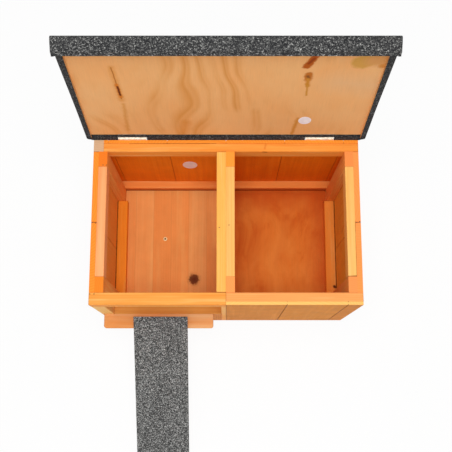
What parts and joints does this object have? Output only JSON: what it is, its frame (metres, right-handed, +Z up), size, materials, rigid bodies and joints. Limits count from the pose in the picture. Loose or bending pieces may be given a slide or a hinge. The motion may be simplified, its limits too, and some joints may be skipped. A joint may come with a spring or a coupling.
{
  "type": "duck nest box",
  "caption": "Framed timber nest box for ducks with two rooms, a doorway with landing and felted ramp, and a felt covered lid hinged along the back.",
  "frame": {"origin": "on the ground under the middle of the box, on the underside of the floor", "axes": "+X to the right seen from the front, +Y to the back where the hinges are, +Z up"},
  "size_m": [0.851, 1.1162, 1.0197],
  "materials": {
    "stained_frame": "orange stained pine, planed",
    "stained_boards": "orange brown stained pine boards",
    "pine_floor": "pale edge glued pine strips",
    "plywood_floor": "mottled reddish plywood",
    "landing_pine": "salmon coloured pine",
    "bare_pine": "bare sawn pine",
    "lid_plywood": "rotary cut plywood",
    "roofing_felt": "grey mineral roofing felt",
    "hinge_steel": "zinc plated steel"
  },
  "bodies": {
    "house": {"back_bottom_rail": "stained_frame", "back_left_post": "stained_frame", "back_right_post": "stained_frame", "back_top_rail": "stained_frame", "back_wall": "stained_boards", "door_header": "stained_frame", "door_left_jamb": "stained_frame", "door_right_jamb": "stained_frame", "door_sill": "stained_frame", "floor_left": "pine_floor", "floor_right": "plywood_floor", "front_left_bottom_rail": "stained_frame", "front_left_wall": "stained_boards", "front_middle_post": "stained_frame", "front_right_bottom_rail": "stained_frame", "front_right_post": "stained_frame", "front_right_top_rail": "stained_frame", "front_right_wall": "stained_boards", "landing_cleat": "landing_pine", "landing_step": "landing_pine", "left_back_post": "stained_frame", "left_bottom_rail": "stained_frame", "left_front_post": "stained_frame", "left_hinge_plate": "hinge_steel", "left_top_rail": "stained_frame", "left_wall": "stained_boards", "partition_back_post": "stained_frame", "partition_bottom_rail": "stained_frame", "partition_front_post": "stained_frame", "partition_lintel": "stained_boards", "partition_side_bar": "stained_frame", "partition_top_rail": "stained_frame", "partition_wall": "stained_boards", "ramp_board": "bare_pine", "ramp_felt": "roofing_felt", "ramp_wedge": "bare_pine", "right_back_post": "stained_frame", "right_bottom_rail": "stained_frame", "right_front_post": "stained_frame", "right_hinge_plate": "hinge_steel", "right_top_rail": "stained_frame", "right_wall": "stained_boards"},
    "lid": {"lid_panel": "lid_plywood", "lid_front_batten": "bare_pine", "lid_left_batten": "bare_pine", "lid_right_batten": "bare_pine", "lid_felt": "roofing_felt", "left_hinge_flap": "hinge_steel", "right_hinge_flap": "hinge_steel"}
  },
  "joints": [
    {"name": "lid_hinge", "type": "hinge", "parent": "house", "child": "lid", "pos_m": [0, 0.255, 0.4943], "axis": [1, 0, 0], "range_deg": [0, 97.75]}
  ]
}
